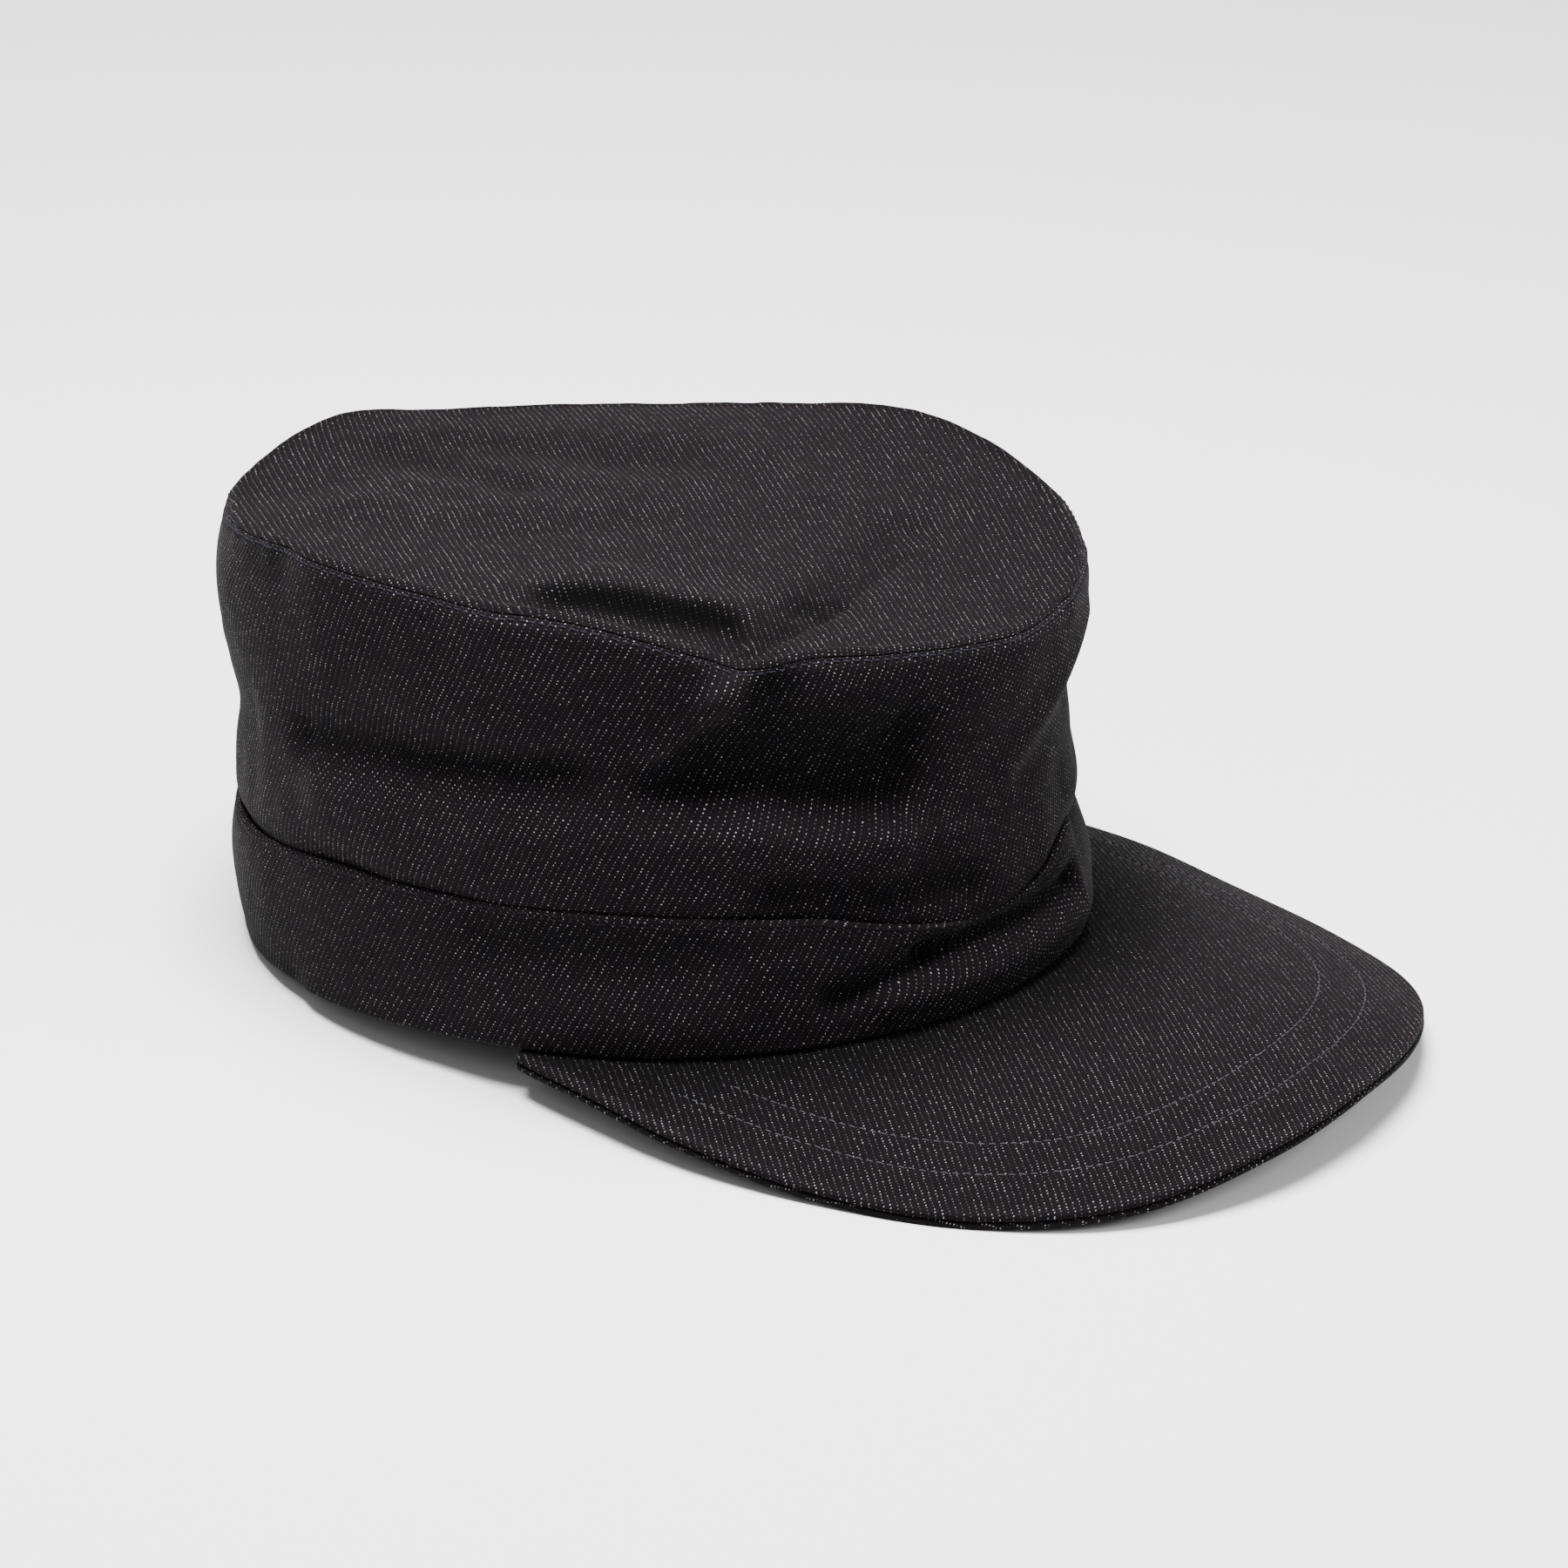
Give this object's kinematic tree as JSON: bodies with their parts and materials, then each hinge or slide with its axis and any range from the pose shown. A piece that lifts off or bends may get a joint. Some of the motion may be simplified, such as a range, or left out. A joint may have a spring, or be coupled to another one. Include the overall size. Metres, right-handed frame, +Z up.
{
  "type": "cadet cap",
  "caption": "Flat-topped cloth cap with an upright side wall, a folded band and a broad curved peak, resting on its hem and peak.",
  "frame": {"origin": "on the surface that the cap rests on, under the middle of its bounding box", "axes": "+Z up, the wearer faces -Y, so the length from the peak's tip to the band's back runs along +Y"},
  "size_m": [0.1916, 0.2902, 0.1135],
  "materials": {
    "denim_top": "black twill denim with fine white flecks, matt",
    "denim_side": "black twill denim with fine white flecks, matt, softly folded",
    "denim_band": "black twill denim folded double, matt",
    "denim_peak": "black twill denim, matt, with rows of stitching"
  },
  "bodies": {
    "root": {"crown_top": "denim_top", "crown_side": "denim_side", "band": "denim_band", "peak_top": "denim_peak", "peak_under": "denim_peak"}
  },
  "joints": []
}
